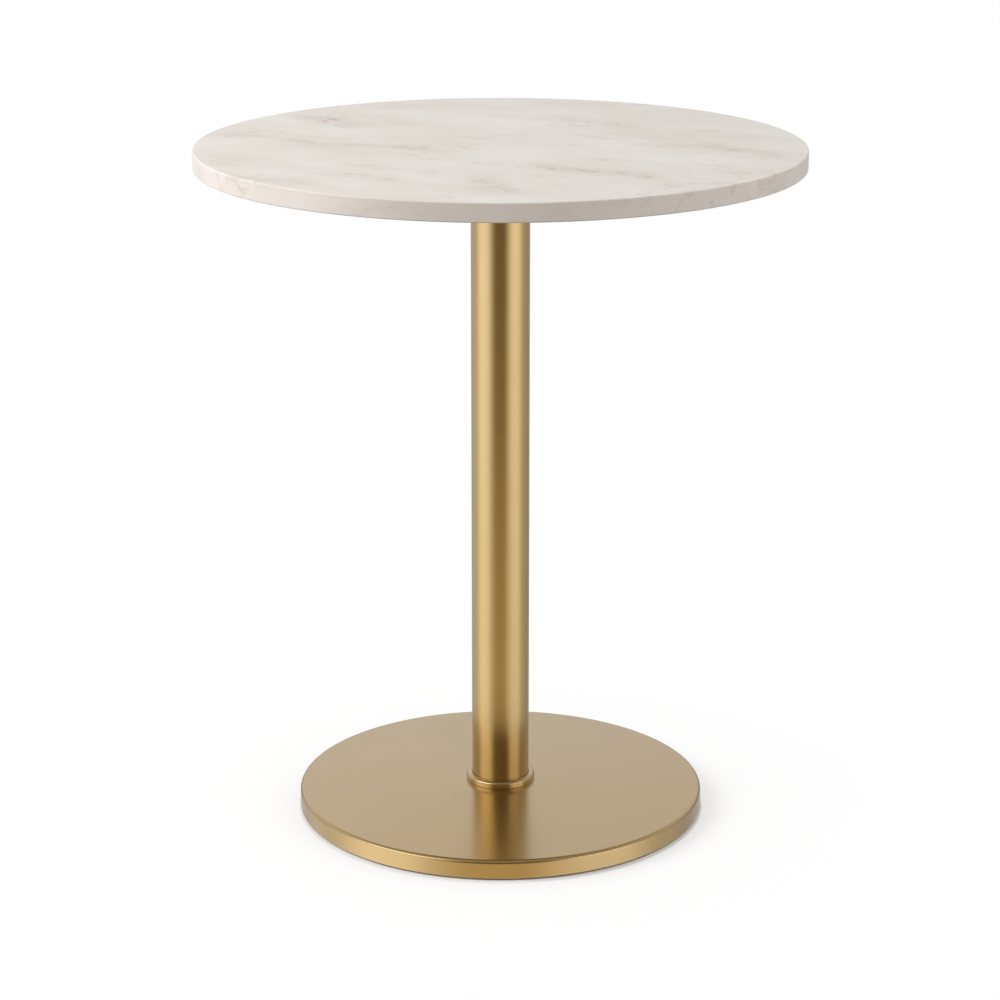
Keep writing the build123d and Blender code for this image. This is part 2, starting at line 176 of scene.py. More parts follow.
def marbleMaterial():
    # honed cream marble: pale ground with faint clouds, soft grey-tan veins that trail off into haze
    material, tree = startMaterial("honed_cream_marble")
    place = addNode(tree, "ShaderNodeTexCoord").outputs["Object"]
    low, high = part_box("tabletop")
    middle = (low.z + high.z) / 2
    bent = place
    for spacing, reach, detail in stoneLook["wander"]:
        noise = addNode(tree, "ShaderNodeTexNoise",
                        {"Vector": place, "Scale": 1 / spacing, "Detail": detail})
        centred = addNode(tree, "ShaderNodeVectorMath", {0: noise.outputs["Color"], 1: (0.5, 0.5, 0.5)},
                          operation="SUBTRACT")
        scaled = addNode(tree, "ShaderNodeVectorMath", {0: centred.outputs[0], "Scale": reach},
                         operation="SCALE")
        bent = addNode(tree, "ShaderNodeVectorMath", {0: bent, 1: scaled.outputs[0]},
                       operation="ADD").outputs[0]
    # each stretch of a vein is a long thin ellipse that fades from its middle line
    vein = None
    for line in veins:
        for (startX, startY), (endX, endY) in zip(line["path"], line["path"][1:]):
            length = math.hypot(endX - startX, endY - startY)
            frameOfVein = addNode(
                tree, "ShaderNodeMapping",
                {
                    "Vector": bent,
                    "Location": ((startX + endX) / 2 * mm, (startY + endY) / 2 * mm, middle),
                    "Rotation": (0, 0, math.atan2(endY - startY, endX - startX)),
                    "Scale": ((length + line["width"]) * mm,
                              line["width"] * stoneLook["streakBreadth"] * mm,
                              stoneLook["streakHeight"]),
                },
                vector_type="TEXTURE",
            )
            streak = addNode(tree, "ShaderNodeTexGradient", {"Vector": frameOfVein.outputs[0]},
                             gradient_type="SPHERICAL")
            weighted = addNode(tree, "ShaderNodeMath", {0: streak.outputs[1], 1: line["depth"]},
                               operation="MULTIPLY").outputs[0]
            if vein:
                weighted = addNode(tree, "ShaderNodeMath", {0: vein, 1: weighted},
                                   operation="MAXIMUM").outputs[0]
            vein = weighted
    # the stone's grain runs slantwise across the slab, and lesser veins follow it
    along = addNode(tree, "ShaderNodeMapping",
                    {
                        "Vector": bent,
                        "Rotation": (0, 0, math.radians(stoneLook["grainTurn"])),
                        "Scale": (stoneLook["grainStretch"], 1, 1),
                    },
                    vector_type="TEXTURE").outputs[0]
    where = addNode(tree, "ShaderNodeTexNoise",
                    {"Vector": place, "Scale": 1 / stoneLook["regions"], "Detail": 2.0})
    spread = addNode(tree, "ShaderNodeMapRange", {0: where.outputs[0], 1: 0.46, 2: 0.62, 4: 0.35},
                     interpolation_type="SMOOTHSTEP")
    core = addNode(tree, "ShaderNodeMapRange", {0: vein, 1: 0.15, 2: 0.75},
                   interpolation_type="SMOOTHSTEP")
    threads = addNode(tree, "ShaderNodeTexNoise",
                      {"Vector": along, "Scale": 1 / stoneLook["threads"], "Detail": 4.0, "Roughness": 0.6})
    ragged = addNode(tree, "ShaderNodeMapRange", {0: threads.outputs[0], 1: 0.32, 2: 0.66, 3: 0.15, 4: 1.1})
    share = addNode(tree, "ShaderNodeMath", {0: vein, 1: stoneLook["haze"]},
                    operation="MULTIPLY").outputs[0]
    for fine, mask in ((stoneLook["veinLines"], core), (stoneLook["strayLines"], spread)):
        noise = addNode(tree, "ShaderNodeTexNoise",
                        {"Vector": along, "Scale": 1 / fine["spacing"], "Detail": 3.0})
        off = addNode(tree, "ShaderNodeMath", {0: noise.outputs[0], 1: 0.5}, operation="SUBTRACT")
        off = addNode(tree, "ShaderNodeMath", {0: off.outputs[0]}, operation="ABSOLUTE")
        line = addNode(tree, "ShaderNodeMapRange",
                       {0: off.outputs[0], 1: fine["breadth"], 2: 0.0, 4: fine["depth"]},
                       interpolation_type="SMOOTHSTEP")
        for factor in (mask, ragged):
            line = addNode(tree, "ShaderNodeMath", {0: line.outputs[0], 1: factor.outputs[0]},
                           operation="MULTIPLY")
        share = addNode(tree, "ShaderNodeMath", {0: share, 1: line.outputs[0]}, use_clamp=True).outputs[0]
    clouds = addNode(tree, "ShaderNodeTexNoise",
                     {"Vector": along, "Scale": 1 / stoneLook["clouds"], "Detail": 4.0, "Roughness": 0.6})
    cloudy = addNode(tree, "ShaderNodeMapRange", {0: clouds.outputs[0], 1: 0.3, 2: 0.7})
    dark, light = [linearColour(tint) for tint in stoneLook["ground"]]
    ground = addNode(tree, "ShaderNodeMix", {0: cloudy.outputs[0], 6: dark, 7: light}, data_type="RGBA")
    grey, tan = [linearColour(tint) for tint in stoneLook["veinTints"]]
    veinTint = addNode(tree, "ShaderNodeMix", {0: where.outputs[0], 6: grey, 7: tan}, data_type="RGBA")
    colour = addNode(tree, "ShaderNodeMix",
                     {0: share, 6: ground.outputs[2], 7: veinTint.outputs[2]},
                     data_type="RGBA")
    sheen = addNode(tree, "ShaderNodeMapRange",
                    {0: clouds.outputs[0], 3: stoneLook["gloss"][0], 4: stoneLook["gloss"][1]})
    grain = addNode(tree, "ShaderNodeTexNoise",
                    {"Vector": place, "Scale": 1 / stoneLook["honing"], "Detail": 2.0})
    bump = addNode(tree, "ShaderNodeBump",
                   {"Height": grain.outputs[0], "Strength": 0.05, "Distance": 0.05 * mm})
    shader = addNode(tree, "ShaderNodeBsdfPrincipled",
                     {
                         "Base Color": colour.outputs[2],
                         "Roughness": sheen.outputs[0],
                         "Normal": bump.outputs[0],
                         "IOR": 1.5,
                         "Specular IOR Level": 0.4,
                     })
    finishMaterial(tree, shader)
    return material


stoneTop = makeTop()
stoneTop.data.materials.append(marbleMaterial())
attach(stoneTop, "table")
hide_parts("tabletop")
print("stone top made")


# Lacquered brass: column, collar and cover of the base

columnSizes = {"wall": 2.0 * mm, "endBreak": 0.5 * mm, "steps": 192, "cuts": 3}

collarSizes = {
    "fit": 0.3 * mm,  # between column and bore
    "shoulder": 4.0 * mm,
    "foot": 0.5 * mm,
    "ringGroove": 2.7 * mm,  # of the rubber ring in the bore, deep and high
    "steps": 192,
    "cuts": 8,
}

coverSizes = {
    "wall": 1.5 * mm,
    "crown": 5.0 * mm,  # fall from the seat to the rim
    "seatMargin": 3.5 * mm,  # flat seat around the collar
    "rim": 4.0 * mm,
    "edgeBreak": 0.45 * mm,  # at the foot of the skirt
    "steps": 320,
    "cuts": 8,
}

brassLooks = {
    "tube": {"tint": "#B5985F", "gloss": (0.22, 0.27), "linesAlong": "Z", "lacquer": 0.55},
    "ring": {"tint": "#B59658", "gloss": (0.12, 0.16), "linesAlong": "Z", "lacquer": 1.0},
    "spun": {"tint": "#B59658", "gloss": (0.21, 0.26), "linesAlong": "radius", "lacquer": 1.0},
}

satin = {
    "patches": 60 * mm,  # uneven gloss left by hand polishing
    "lines": 0.5 * mm,  # of the polishing belt, drawn coarser than their 0.1 mm
    "lineGloss": 0.012,
    "lineDepth": 0.02 * mm,
    "lacquerRoughness": 0.2,
    "lacquerIor": 1.65,
}


def makeColumn():
    low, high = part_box("column_tube")
    outer = high.x
    inner = outer - columnSizes["wall"]
    outline = [(inner, low.z), (outer, low.z), (outer, high.z), (inner, high.z)]
    rounds = {corner: columnSizes["endBreak"] for corner in range(4)}
    return spunPiece("brass_column", outline, rounds, columnSizes["steps"], columnSizes["cuts"])


def makeCollar():
    low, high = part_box("base_collar")
    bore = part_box("column_tube")[1].x + collarSizes["fit"]
    middle = (low.z + high.z) / 2
    grooveHalf = collarSizes["ringGroove"] / 2
    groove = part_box("column_tube")[1].x + collarSizes["ringGroove"]
    outline = [
        (bore, low.z), (high.x, low.z), (high.x, high.z), (bore, high.z),
        (bore, middle + grooveHalf), (groove, middle + grooveHalf),
        (groove, middle - grooveHalf), (bore, middle - grooveHalf),
    ]
    rounds = {1: collarSizes["foot"], 2: collarSizes["shoulder"], 3: collarSizes["foot"] / 2}
    return spunPiece("brass_collar", outline, rounds, collarSizes["steps"], collarSizes["cuts"])


def makeCover():
    low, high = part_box("base_cover")
    radius = high.x
    wall = coverSizes["wall"]
    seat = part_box("base_collar")[1].x + coverSizes["seatMargin"]
    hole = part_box("column_tube")[1].x - columnSizes["wall"]
    rim = high.z - coverSizes["crown"]
    fall = coverSizes["crown"] / (radius - seat)
    outline = [
        (hole, high.z), (seat, high.z), (radius, rim), (radius, low.z),
        (radius - wall, low.z), (radius - wall, rim + wall * fall - wall),
        (seat, high.z - wall), (hole, high.z - wall),
    ]
    foot = coverSizes["edgeBreak"]
    rounds = {2: coverSizes["rim"], 3: foot, 4: foot, 5: coverSizes["rim"] - wall}
    return spunPiece("brass_base", outline, rounds, coverSizes["steps"], coverSizes["cuts"])


def brassMaterial(name, look):
    # satin brass under clear lacquer: warm soft reflections, paler at a low angle where the lacquer shines;
    # the collar is polished after turning, so its highlights are sharper
    material, tree = startMaterial(name)
    place = addNode(tree, "ShaderNodeTexCoord").outputs["Object"]
    patches = addNode(tree, "ShaderNodeTexNoise",
                      {"Vector": place, "Scale": 1 / satin["patches"], "Detail": 5.0, "Roughness": 0.6})
    # the lines run round the column's axis
    parts = addNode(tree, "ShaderNodeSeparateXYZ", {0: place})
    flat = addNode(tree, "ShaderNodeVectorMath", {0: place, 1: (1, 1, 0)}, operation="MULTIPLY")
    radius = addNode(tree, "ShaderNodeVectorMath", {0: flat.outputs[0]}, operation="LENGTH")
    across = parts.outputs["Z"] if look["linesAlong"] == "Z" else radius.outputs["Value"]
    lines = addNode(tree, "ShaderNodeTexNoise", {"W": across, "Scale": 1 / satin["lines"], "Detail": 3.0},
                    noise_dimensions="1D")
    dull = addNode(tree, "ShaderNodeMapRange",
                   {0: patches.outputs[0], 1: 0.3, 2: 0.7, 3: look["gloss"][0], 4: look["gloss"][1]})
    streaked = addNode(tree, "ShaderNodeMapRange",
                       {0: lines.outputs[0], 1: 0.3, 2: 0.7, 3: -satin["lineGloss"], 4: satin["lineGloss"]})
    dull = addNode(tree, "ShaderNodeMath", {0: dull.outputs[0], 1: streaked.outputs[0]})
    bump = addNode(tree, "ShaderNodeBump",
                   {"Height": lines.outputs[0], "Strength": 0.02, "Distance": satin["lineDepth"]})
    shader = addNode(tree, "ShaderNodeBsdfPrincipled",
                     {
                         "Base Color": linearColour(look["tint"]),
                         "Metallic": 1.0,
                         "Roughness": dull.outputs[0],
                         "Normal": bump.outputs[0],
                         "Coat Weight": look["lacquer"],
                         "Coat Roughness": satin["lacquerRoughness"],
                         "Coat IOR": satin["lacquerIor"],
                     })
    finishMaterial(tree, shader)
    return material


tubeBrass = brassMaterial("satin_brass_tube", brassLooks["tube"])
ringBrass = brassMaterial("polished_turned_brass", brassLooks["ring"])
spunBrass = brassMaterial("lacquered_spun_brass", brassLooks["spun"])
for makePiece, node, brass in (
    (makeColumn, "column_tube", tubeBrass),
    (makeCollar, "base_collar", ringBrass),
    (makeCover, "base_cover", spunBrass),
):
    brassPiece = makePiece()
    brassPiece.data.materials.append(brass)
    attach(brassPiece, "table")
    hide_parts(node)
print("column, collar and base made")


# Hardware: finishes for the CAD nodes that stay, and threaded studs for the glides

hardware = {
    "powderCoat": {
        "nodes": ["spider_plate", "base_weight"],
        "tints": ("#1C1C1E", "#212123"),
        "gloss": (0.47, 0.53),
        "peel": 1.6 * mm,  # orange peel of the baked powder
        "peelDepth": 0.06 * mm,
        "patches": 25 * mm,
    },
    "zinc": {
        "nodes": ["spider_screws", "spider_washers", "tie_rod", "tie_rod_nut", "tie_rod_lock_washer",
                  "tie_rod_washer", "hub_screws", "glide_bushes"],
        "tints": ("#B4B8BC", "#BDBAAE"),  # blue-white passivation with a faint yellow bloom
        "gloss": (0.26, 0.4),
        "bloom": 9 * mm,
        "grit": 0.5 * mm,
    },
    "turned": {
        "nodes": ["top_hub", "base_hub"],
        "tints": ("#9E9E9C", "#B0B0AE"),
        "gloss": (0.28, 0.42),
        "toolLines": 0.7 * mm,  # feed of a lathe tool is about 0.2 mm, drawn coarser so that it shows
        "patches": 14 * mm,
    },
    "insert": {"nodes": ["tabletop_inserts"], "tints": ("#B08A48", "#BF9A58"), "gloss": (0.3, 0.42),
               "toolLines": 0.7 * mm, "patches": 14 * mm},
    "rubber": {"nodes": ["cushion_strips", "collar_o_ring"], "tints": ("#151516", "#1F1F20"),
               "gloss": (0.7, 0.85), "bloom": 6 * mm, "grit": 0.8 * mm},
    # the foam's darker tint is painted shade in the hollows of its cells
    "foam": {"nodes": ["foam_ring"], "tints": ("#4A4C4F", "#6A6C70"), "gloss": (0.97, 0.88),
             "cell": 1.4 * mm},
    "nylon": {
        "nodes": ["glide_pad_front_left", "glide_pad_front_right", "glide_pad_back_left",
                  "glide_pad_back_right"],
        "tints": ("#18181A", "#222225"),
        "gloss": (0.45, 0.6),
        "spark": 0.9 * mm,  # spark-eroded mould grain of about 0.3 mm, drawn coarser so that it shows
        "flow": 11 * mm,
    },
}

studSizes = {
    "places": ["front_left", "front_right", "back_left", "back_right"],
    "pitch": 1.25 * mm,
    "threadDepth": 0.72 * mm,
    "threadSteps": 36,
    "threadBelow": (1.4, 0.2),  # pitches below the hexagon's top: where it is wound from, and cut off
    "radius": 4.0 * mm,
    "hexFlat": 13.0 * mm,
    "hexCorner": 0.7 * mm,
    "hexTurn": 30,  # degrees
    "hexHeight": 3.0 * mm,
    "neck": 3.0 * mm,
    "head": 5.5 * mm,
    "headHeight": 1.5 * mm,
    "neckHeight": 3.2 * mm,  # from the underside of the head to the hexagon
    "neckSunk": 0.2 * mm,  # into the hexagon
    "headSteps": 40,
}


def powderCoat(look):
    # black polyester powder coat, sprayed and baked: half matt, with a fine orange peel
    material, tree = startMaterial("black_powder_coated_steel")
    place = addNode(tree, "ShaderNodeTexCoord").outputs["Object"]
    peel = addNode(tree, "ShaderNodeTexNoise", {"Vector": place, "Scale": 1 / look["peel"], "Detail": 2.0})
    patches = addNode(tree, "ShaderNodeTexNoise",
                      {"Vector": place, "Scale": 1 / look["patches"], "Detail": 4.0})
    tints = [linearColour(tint) for tint in look["tints"]]
    tint = addNode(tree, "ShaderNodeMix", {0: patches.outputs[0], 6: tints[0], 7: tints[1]},
                   data_type="RGBA")
    dull = addNode(tree, "ShaderNodeMapRange",
                   {0: patches.outputs[0], 1: 0.3, 2: 0.7, 3: look["gloss"][0], 4: look["gloss"][1]})
    bump = addNode(tree, "ShaderNodeBump",
                   {"Height": peel.outputs[0], "Strength": 0.5, "Distance": look["peelDepth"]})
    shader = addNode(tree, "ShaderNodeBsdfPrincipled",
                     {
                         "Base Color": tint.outputs[2],
                         "Roughness": dull.outputs[0],
                         "Normal": bump.outputs[0],
                         "IOR": 1.5,
                     })
    finishMaterial(tree, shader)
    return material


def zincPlate(look):
    # bright zinc plate with clear passivation: cool grey metal, uneven gloss, a faint yellow bloom
    material, tree = startMaterial("zinc_plated_steel")
    place = addNode(tree, "ShaderNodeTexCoord").outputs["Object"]
    bloom = addNode(tree, "ShaderNodeTexNoise",
                    {"Vector": place, "Scale": 1 / look["bloom"], "Detail": 5.0, "Roughness": 0.6})
    grit = addNode(tree, "ShaderNodeTexNoise", {"Vector": place, "Scale": 1 / look["grit"], "Detail": 2.0})
    tints = [linearColour(tint) for tint in look["tints"]]
    tint = addNode(tree, "ShaderNodeMix", {0: bloom.outputs[0], 6: tints[0], 7: tints[1]},
                   data_type="RGBA")
    dull = addNode(tree, "ShaderNodeMapRange",
                   {0: bloom.outputs[0], 1: 0.3, 2: 0.7, 3: look["gloss"][0], 4: look["gloss"][1]})
    bump = addNode(tree, "ShaderNodeBump",
                   {"Height": grit.outputs[0], "Strength": 0.2, "Distance": 0.03 * mm})
    shader = addNode(tree, "ShaderNodeBsdfPrincipled",
                     {
                         "Base Color": tint.outputs[2],
                         "Metallic": 1.0,
                         "Roughness": dull.outputs[0],
                         "Normal": bump.outputs[0],
                     })
    finishMaterial(tree, shader)
    return material


def turnedMetal(name, look):
    # bare metal off the lathe: rings of tool lines about the axis that streak the highlights
    material, tree = startMaterial(name)
    place = addNode(tree, "ShaderNodeTexCoord").outputs["Object"]
    lines = addNode(tree, "ShaderNodeTexWave",
                    {
                        "Vector": place,
                        "Scale": math.tau / 20 / look["toolLines"],
                        "Distortion": 0.6,
                        "Detail": 2.0,
                        "Detail Scale": 1.5,
                    },
                    wave_type="RINGS", rings_direction="Z")
    patches = addNode(tree, "ShaderNodeTexNoise",
                      {"Vector": place, "Scale": 1 / look["patches"], "Detail": 4.0})
    tints = [linearColour(tint) for tint in look["tints"]]
    tint = addNode(tree, "ShaderNodeMix", {0: patches.outputs[0], 6: tints[0], 7: tints[1]},
                   data_type="RGBA")
    dull = addNode(tree, "ShaderNodeMapRange",
                   {0: lines.outputs[1], 3: look["gloss"][0], 4: look["gloss"][1]})
    bump = addNode(tree, "ShaderNodeBump",
                   {"Height": lines.outputs[1], "Strength": 0.35, "Distance": 0.02 * mm})
    shader = addNode(tree, "ShaderNodeBsdfPrincipled",
                     {
                         "Base Color": tint.outputs[2],
                         "Metallic": 1.0,
                         "Roughness": dull.outputs[0],
                         "Normal": bump.outputs[0],
                     })
    finishMaterial(tree, shader)
    return material


def mouldedRubber(look):
    # moulded black rubber: nearly matt, greyed in patches by a bloom of wax
    material, tree = startMaterial("black_moulded_rubber")
    place = addNode(tree, "ShaderNodeTexCoord").outputs["Object"]
    bloom = addNode(tree, "ShaderNodeTexNoise",
                    {"Vector": place, "Scale": 1 / look["bloom"], "Detail": 5.0})
    grit = addNode(tree, "ShaderNodeTexNoise", {"Vector": place, "Scale": 1 / look["grit"], "Detail": 3.0})
    tints = [linearColour(tint) for tint in look["tints"]]
    tint = addNode(tree, "ShaderNodeMix", {0: bloom.outputs[0], 6: tints[0], 7: tints[1]},
                   data_type="RGBA")
    dull = addNode(tree, "ShaderNodeMapRange",
                   {0: bloom.outputs[0], 1: 0.3, 2: 0.7, 3: look["gloss"][0], 4: look["gloss"][1]})
    bump = addNode(tree, "ShaderNodeBump",
                   {"Height": grit.outputs[0], "Strength": 0.3, "Distance": 0.08 * mm})
    shader = addNode(tree, "ShaderNodeBsdfPrincipled",
                     {
                         "Base Color": tint.outputs[2],
                         "Roughness": dull.outputs[0],
                         "Normal": bump.outputs[0],
                         "IOR": 1.52,
                     })
    finishMaterial(tree, shader)
    return material


def cutFoam(look):
    # grey cellular foam cut with a blade: open cells with painted shade in their hollows, quite matt
    material, tree = startMaterial("grey_cut_foam")
    place = addNode(tree, "ShaderNodeTexCoord").outputs["Object"]
    cells = addNode(tree, "ShaderNodeTexVoronoi", {"Vector": place, "Scale": 1 / look["cell"]})
    depth = addNode(tree, "ShaderNodeMapRange", {0: cells.outputs[0], 1: 0.1, 2: 0.6})
    tints = [linearColour(tint) for tint in look["tints"]]
    # darker towards each cell's middle, where the bump sinks: painted shade in the hollows
    tint = addNode(tree, "ShaderNodeMix", {0: depth.outputs[0], 6: tints[0], 7: tints[1]},
                   data_type="RGBA")
    bump = addNode(tree, "ShaderNodeBump",
                   {"Height": depth.outputs[0], "Strength": 0.7, "Distance": 0.4 * mm})
    dull = addNode(tree, "ShaderNodeMapRange",
                   {0: depth.outputs[0], 3: look["gloss"][0], 4: look["gloss"][1]})
    shader = addNode(tree, "ShaderNodeBsdfPrincipled",
                     {
                         "Base Color": tint.outputs[2],
                         "Roughness": dull.outputs[0],
                         "Normal": bump.outputs[0],
                         "IOR": 1.45,
                     })
    finishMaterial(tree, shader)
    return material


def mouldedNylon(look):
    # injection moulded black nylon: half matt, with the grain of a spark-eroded mould
    material, tree = startMaterial("black_moulded_nylon")
    place = addNode(tree, "ShaderNodeTexCoord").outputs["Object"]
    spark = addNode(tree, "ShaderNodeTexNoise",
                    {"Vector": place, "Scale": 1 / look["spark"], "Detail": 3.0, "Roughness": 0.6})
    flow = addNode(tree, "ShaderNodeTexNoise", {"Vector": place, "Scale": 1 / look["flow"], "Detail": 3.0})
    tints = [linearColour(tint) for tint in look["tints"]]
    tint = addNode(tree, "ShaderNodeMix", {0: flow.outputs[0], 6: tints[0], 7: tints[1]},
                   data_type="RGBA")
    dull = addNode(tree, "ShaderNodeMapRange",
                   {0: spark.outputs[0], 1: 0.3, 2: 0.7, 3: look["gloss"][0], 4: look["gloss"][1]})
    bump = addNode(tree, "ShaderNodeBump",
                   {"Height": spark.outputs[0], "Strength": 0.4, "Distance": 0.06 * mm})
    shader = addNode(tree, "ShaderNodeBsdfPrincipled",
                     {
                         "Base Color": tint.outputs[2],
                         "Roughness": dull.outputs[0],
                         "Normal": bump.outputs[0],
                         "IOR": 1.53,
                     })
    finishMaterial(tree, shader)
    return material


def makeStud(place):
    low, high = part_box("glide_stud_" + place)
    centre = (low + high) / 2
    hexLow = low.z + studSizes["neckHeight"]
    hexHigh = hexLow + studSizes["hexHeight"]
    pitch = studSizes["pitch"]
    mesh = bmesh.new()
    # thread: one pitch of its outline wound up the axis, then cut square at both ends
    crest = studSizes["radius"]
    root = crest - studSizes["threadDepth"]
    start = hexHigh - studSizes["threadBelow"][0] * pitch
    outline = [(root, 0), (root, 1 / 8), (crest, 7 / 16), (crest, 9 / 16), (root, 7 / 8), (root, 1)]
    corners = [mesh.verts.new((radius, 0, start + rise * pitch)) for radius, rise in outline]
    for before, after in zip(corners, corners[1:]):
        mesh.edges.new((before, after))
    turns = math.ceil((high.z - start) / pitch)
    steps = studSizes["threadSteps"]
    bmesh.ops.spin(mesh, geom=mesh.verts[:] + mesh.edges[:], cent=(0, 0, 0), axis=(0, 0, 1),
                   dvec=(0, 0, pitch / steps), angle=math.tau * turns, steps=steps * turns)
    bmesh.ops.remove_doubles(mesh, verts=mesh.verts[:], dist=1e-6)
    for level, up in ((hexHigh - studSizes["threadBelow"][1] * pitch, -1), (high.z, 1)):
        cut = bmesh.ops.bisect_plane(mesh, geom=mesh.verts[:] + mesh.edges[:] + mesh.faces[:],
                                     plane_co=(0, 0, level), plane_no=(0, 0, up), clear_outer=True)
        edges = [item for item in cut["geom_cut"] if isinstance(item, bmesh.types.BMEdge)]
        bmesh.ops.edgeloop_fill(mesh, edges=edges)
    # hexagon for a spanner, its corners broken
    before = set(mesh.verts)
    bmesh.ops.create_cone(mesh, cap_ends=True, segments=6, radius1=studSizes["hexFlat"] / math.sqrt(3),
                          radius2=studSizes["hexFlat"] / math.sqrt(3), depth=studSizes["hexHeight"])
    hexVerts = [vert for vert in mesh.verts if vert not in before]
    bmesh.ops.translate(mesh, verts=hexVerts, vec=(0, 0, (hexLow + hexHigh) / 2))
    hexTurn = Matrix.Rotation(math.radians(studSizes["hexTurn"]), 3, "Z")
    bmesh.ops.rotate(mesh, verts=hexVerts, cent=(0, 0, 0), matrix=hexTurn)
    bmesh.ops.bevel(mesh, geom=hexVerts, offset=studSizes["hexCorner"], segments=1, profile=0.5,
                    affect="VERTICES", material=-1)
    # neck and head, which the pad turns on
    headTop = low.z + studSizes["headHeight"]
    neckTop = hexLow + studSizes["neckSunk"]
    outline = [(0, low.z), (studSizes["head"], low.z), (studSizes["head"], headTop),
               (studSizes["neck"], headTop), (studSizes["neck"], neckTop), (0, neckTop)]
    corners = [mesh.verts.new((radius, 0, height)) for radius, height in outline]
    wire = [mesh.edges.new(pair) for pair in zip(corners, corners[1:])]
    bmesh.ops.spin(mesh, geom=corners + wire, cent=(0, 0, 0), axis=(0, 0, 1), dvec=(0, 0, 0),
                   angle=math.tau, steps=studSizes["headSteps"], use_merge=True)
    bmesh.ops.translate(mesh, verts=mesh.verts[:], vec=(centre.x, centre.y, 0))
    return finishPiece("threaded_stud_" + place, mesh)


zinc = zincPlate(hardware["zinc"])
for finish, material in (
    ("powderCoat", powderCoat(hardware["powderCoat"])),
    ("zinc", zinc),
    ("turned", turnedMetal("turned_bare_steel", hardware["turned"])),
    ("insert", turnedMetal("turned_brass_insert", hardware["insert"])),
    ("rubber", mouldedRubber(hardware["rubber"])),
    ("foam", cutFoam(hardware["foam"])),
    ("nylon", mouldedNylon(hardware["nylon"])),
):
    for node in hardware[finish]["nodes"]:
        for materialSlot in cadNodes[node].material_slots:
            materialSlot.material = material
for studPlace in studSizes["places"]:
    stud = makeStud(studPlace)
    stud.data.materials.append(zinc)
    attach(stud, studPlace + "_stud")
    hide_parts("glide_stud_" + studPlace)
print("hardware dressed and studs threaded")


# Studio: white paper floor, soft panels painted on the surround, a key and a fill lamp

studio = {
    "paperHalf": 3.0,  # metres
    "paperTint": "#F4F3F2",
    "bounceShadeTint": "#8C8173",  # what the paper throws back onto the table, darker and warmer than the paper the camera sees: painted shade on the parts that face the floor
    # distances from the shadow's middle between which the paper gains a share of plain white to the eye,
    # so that the shadow under and in front of the base stays
    "paperGlow": [(0.2242, 0.228, 0.56), (0.226, 0.28, 0.32), (0.25, 0.5, 0.12)],
    "shadowMiddle": (0.0, -0.006, 0.0),
    # the surround's levels and tints, and the part of a ray's direction over which each one changes
    "walls": {"levels": (0.2, 0.82), "along": "Y", "turn": (-0.5, 0.3)},  # dim in front, pale behind
    "sides": {"levels": (1.07, 0.9), "along": "X", "turn": (-0.25, 0.25)},
    "lift": {"levels": (0.64, 1.06), "along": "Z", "turn": (-0.1, 0.4)},  # dimmer below, brighter above
    "warmFront": {"tint": (1.0, 0.81, 0.48), "turn": (-0.6, -0.93)},
    "warmGround": {"tint": (1.0, 0.95, 0.84), "turn": (-0.15, -0.4)},
    "ceiling": {"level": 0.88, "inMetal": 0.5, "turn": (0.5, 0.8)},  # dim in metal, for dark edge lines
    # soft panels: bearing from the front in degrees, the heights between which they glow, the glow
    # at their lower and upper edges, and its tint; one with a glow below zero is a dark flag
    "panels": [
        {"bearing": -66, "half": 29, "edge": 20, "heights": (-0.9, -0.27), "glow": (0.98, 1.43),
         "tint": (1.0, 1.01, 1.04)},
        {"bearing": -66, "half": 29, "edge": 20, "heights": (-0.27, 0.0), "glow": (1.55, 1.75),
         "tint": (1.0, 1.07, 1.3)},
        {"bearing": -62, "half": 26, "edge": 16, "heights": (0.17, 0.42), "glow": (2.25, 1.95),
         "tint": (0.99, 1.02, 1.08)},
        {"bearing": -60, "half": 28, "edge": 12, "heights": (0.48, 0.68), "glow": (2.4, 2.4),
         "tint": (1.0, 1.0, 1.0)},
        {"bearing": -118, "half": 20, "edge": 14, "heights": (-0.9, 0.1), "glow": (0.3, 0.3),
         "tint": (1.0, 1.0, 1.0)},
        {"bearing": 59, "half": 27, "edge": 19, "heights": (-0.6, 0.0), "glow": (0.62, 2.0),
         "tint": (1.0, 1.02, 1.12)},
        {"bearing": 103, "half": 18, "edge": 14, "heights": (-0.9, 0.1), "glow": (0.22, 0.22),
         "tint": (1.0, 1.0, 1.0)},
        {"bearing": 58, "half": 22, "edge": 12, "heights": (0.17, 0.42), "glow": (2.05, 1.8),
         "tint": (1.0, 1.0, 1.04)},
        {"bearing": 0, "half": 34, "edge": 14, "heights": (-1.2, -0.3), "glow": (0.78, 0.78),
         "tint": (1.0, 0.84, 0.6)},
        {"bearing": 0, "half": 40, "edge": 16, "heights": (-0.36, -0.12), "glow": (0.05, 0.06),
         "tint": (1.0, 0.81, 0.48)},
        {"bearing": 0, "half": 36, "edge": 20, "heights": (0.14, 0.36), "glow": (0.22, 0.22),
         "tint": (1.0, 0.8, 0.45)},
        {"bearing": 180, "half": 100, "edge": 40, "heights": (-0.1, 0.14), "glow": (-0.26, -0.26),
         "tint": (1.0, 1.0, 1.0)},
    ],
    "panelFade": 0.06,
    "lamps": [
        {"name": "keyLamp", "at": (-1.97, -0.35, 1.5), "size": (1.2, 1.1), "aim": (0, 0, 0.4), "glow": 6.0},
        {"name": "fillLamp", "at": (2.2, -0.5, 1.0), "size": (1.2, 1.1), "aim": (0, 0, 0.5), "glow": 1.9},
    ],
}

camera = {
    "at": (-0.00049, -3.0725, 1.2682),
    "pitch": 16.588,  # degrees below the horizon
    "lens": 105.264,
    "sensor": 36.0,
}


